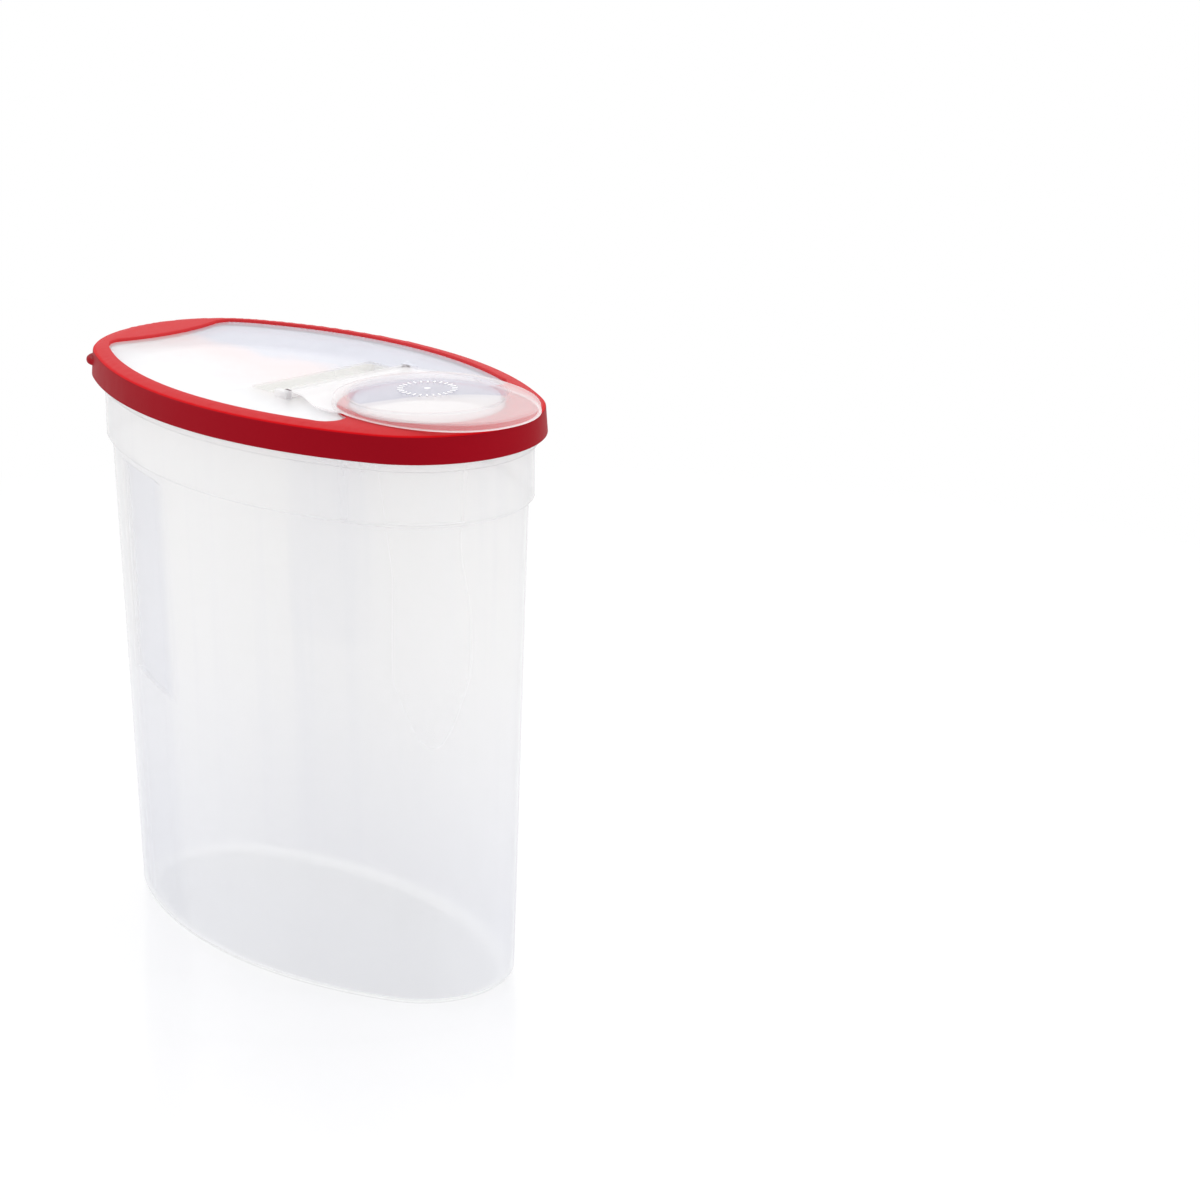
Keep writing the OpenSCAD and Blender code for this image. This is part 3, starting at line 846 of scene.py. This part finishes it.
# The neck spreads into two wings that run along the cap's sides: (x, how far out, how far up).
neck_plan = [(24, 0, 0), (28, 0, 0), (32, 0.2, 0), (35, 0.9, -0.05), (38, 1.9, -0.1), (40, 2.7, -0.15),
             (43, 4.0, -0.25), (46, 5.2, -0.35), (49, 6.3, -0.45), (52, 7.1, -0.5), (55, 7.6, -0.5),
             (58, 7.7, -0.5), (61, 7.2, -0.5), (64, 6.2, -0.5), (67, 5.2, -0.5)]
for side in (-1, 1):
    neck_rows = []
    for x, flare, lift in neck_plan:
        outer, z = NECK_Y + flare, HINGE_Z + KNUCKLE_R + lift
        inner = max(cap_half(x) - 1.2, 0) if x > 38 else 0
        row = [(inner + (outer - 0.7 - inner) * k / 10, z) for k in range(11)]
        row += [(outer - 0.35, z - 0.05), (outer - 0.1, z - 0.25), (outer, z - 0.6), (outer - 0.1, z - 0.95),
                (outer - 0.4, z - 1.15)]
        row += [(inner + (outer - 0.9 - inner) * k / 10, z - 1.2) for k in range(10, -1, -1)]
        neck_rows.append(cap.loop([(x, side * y, height) for y, height in row]))
    for low, high in zip(neck_rows, neck_rows[1:]):
        cap.strip(*((low, high) if side == -1 else (high, low)), closed=False)


def hinge_ring(radius, y, count):
    """A ring round the hinge's axis."""
    turns = [math.radians(360 / count * k) for k in range(count)]
    return cap.loop([(HINGE_X + radius * math.cos(a), y, HINGE_Z + radius * math.sin(a)) for a in turns])


knuckle = [hinge_ring(radius, y, 48) for radius, y in (
    (KNUCKLE_R - 0.4, -NECK_Y), (KNUCKLE_R, -NECK_Y + 0.4),
    (KNUCKLE_R, NECK_Y - 0.4), (KNUCKLE_R - 0.4, NECK_Y))]
cap.strips(list(reversed(knuckle)))
cap.fan(knuckle[0], (HINGE_X, -NECK_Y, HINGE_Z))
cap.fan(knuckle[-1], (HINGE_X, NECK_Y, HINGE_Z), turned=True)
for side in (-1, 1):
    pin = [hinge_ring(radius, side * y, 24) for radius, y in (
        (PIN_R, 32.8), (PIN_R, PIN_END - 0.3), (PIN_R - 0.3, PIN_END))]
    cap.strips(pin if side == -1 else list(reversed(pin)))
    cap.fan(pin[-1], (HINGE_X, side * PIN_END, HINGE_Z), turned=side == 1)
middle_mark = [cap.loop(circle(r, z, 24)) for r, z in ((1.5, 266.6), (1.4, 266.85), (1.0, 266.95))]
cap.strips(middle_mark)
cap.fan(middle_mark[-1], (SPOUT_X, 0, 266.95))

# The brim is clearer than the dome. The dome carries painted reflections, a dark one on its far side and a
# warm one on its near side; painted highlights brighten the lip's lower edge and the marks, and painted shade
# darkens the gaps beside the knuckle.
tinted = Finish("cap_polypropylene")
veil = tinted.noise(16, (1, 1, 1), 3.0)
pore = tinted.noise(800, (1, 1, 1), 2.0)
across, along = tinted.axis("Y"), tinted.axis("X")
from_middle = tinted.node("ShaderNodeVectorMath", {"operation": "LENGTH"}, {
    0: tinted.node("ShaderNodeMapping", None, {
        "Vector": tinted.spot(), "Location": (-SPOUT_X * mm, 0, 0), "Scale": (1, 1, 0)})}, out="Value")
brim = from_middle.past(0.0325, 0.002)
warm_reflection = ((along - SPOUT_X * mm) * 1.8 - across + (veil - 0.5) * 0.012).past(0.022, 0.004)
lip_highlight = 1.0 - tinted.height(0.2608, 0.2612)
side_wall = tinted.height(0.2610, 0.2613) * (1.0 - tinted.height(0.2632, 0.2636)) * brim
mark_highlights = tinted.height(0.26652, 0.26662) * from_middle.past(0.0095, 0.0004) + tinted.height(0.26672, 0.26676)
gap_shade = abs(across).past(0.03255, 0.0002) * (1.0 - abs(across).past(0.0331, 0.0001)) * (
    1.0 - along.past(0.0268, 0.0004))
# Painted reflections on the dome: a dark, cool tone on the far side and a warm one on the near side.
far_reflection_tint = tinted.blend(veil, (0.66, 0.66, 0.76, 1), (0.75, 0.745, 0.82, 1))
dome_reflection_tint = tinted.blend(warm_reflection, far_reflection_tint, (0.93, 0.895, 0.895, 1))
brim_tint = tinted.blend(veil, (0.98, 0.96, 0.965, 1), (1.0, 0.99, 0.99, 1))
shell_tint = tinted.blend(brim, dome_reflection_tint, brim_tint)
# Painted highlights: the lip's lower edge and the marks are painted near white.
highlighted_tint = tinted.blend((lip_highlight + mark_highlights).clip(), shell_tint, (1.0, 0.99, 0.99, 1))
shell_cover = (0.24 - brim * 0.03 + veil * 0.08 + tinted.facing(0.35) * 0.28) * (1.0 - side_wall * 0.5)
cap_body = tinted.node("ShaderNodeBsdfPrincipled", None, {
    "Base Color": tinted.blend(gap_shade, highlighted_tint, (0.16, 0.10, 0.12, 1)),
    "Roughness": (0.12 + veil * 0.1).clip(),
    "IOR": 1.5,
    "Alpha": (shell_cover + warm_reflection * (1.0 - brim) * 0.05 + lip_highlight * 0.3 + mark_highlights * 0.5
              + gap_shade * 0.6).clip(),
    "Normal": tinted.bump(pore, 0.06, 0.0002)})
cap_finish = tinted.shade(cap_body)

# A plain ring of short raised marks stands on the dome.
raised = Graph("raised_marks")
spots = raised.node("GeometryNodeMeshCircle", None, {
    "Vertices": raised.size("Marks", "Int"), "Radius": raised.size("Ring Radius")})
half_mark = raised.node("ShaderNodeMath", {"operation": "MULTIPLY"}, {0: raised.size("Mark Length"), 1: 0.5})
other_half = raised.node("ShaderNodeMath", {"operation": "MULTIPLY"}, {0: half_mark, 1: -1.0})
start, stop = (raised.node("ShaderNodeCombineXYZ", None, {"X": end}) for end in (half_mark, other_half))
rod = raised.node("GeometryNodeCurveToMesh", None, {
    "Curve": raised.node("GeometryNodeCurvePrimitiveLine", None, {"Start": start, "End": stop}),
    "Profile Curve": raised.node("GeometryNodeCurvePrimitiveCircle", None, {
        "Resolution": 10, "Radius": raised.size("Mark Radius")}),
    "Fill Caps": True})
outward = raised.node("FunctionNodeAlignRotationToVector", {"axis": "X"}, {
    "Vector": raised.node("GeometryNodeInputPosition")})
ring_of_marks = raised.node("GeometryNodeInstanceOnPoints", None, {
    "Points": spots, "Instance": rod, "Rotation": outward})
on_dome = raised.node("GeometryNodeTransform", None, {
    "Geometry": ring_of_marks, "Translation": raised.size("Middle", "Vector")})
marks = raised.grow(traced("mark_seed", [(0, 0, 0), (1, 0, 0)], False), on_dome, cap_finish, {
    "Marks": 26, "Ring Radius": 0.0115, "Mark Length": 0.0024, "Mark Radius": 0.0005,
    "Middle": (SPOUT_X * mm, 0, 0.2664)})
cap_piece = make_piece("cap", weld("cap", [cap.data("cap_shell"), marks]), cap_finish)
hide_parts("flip_cap")
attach(cap_piece, "cap")
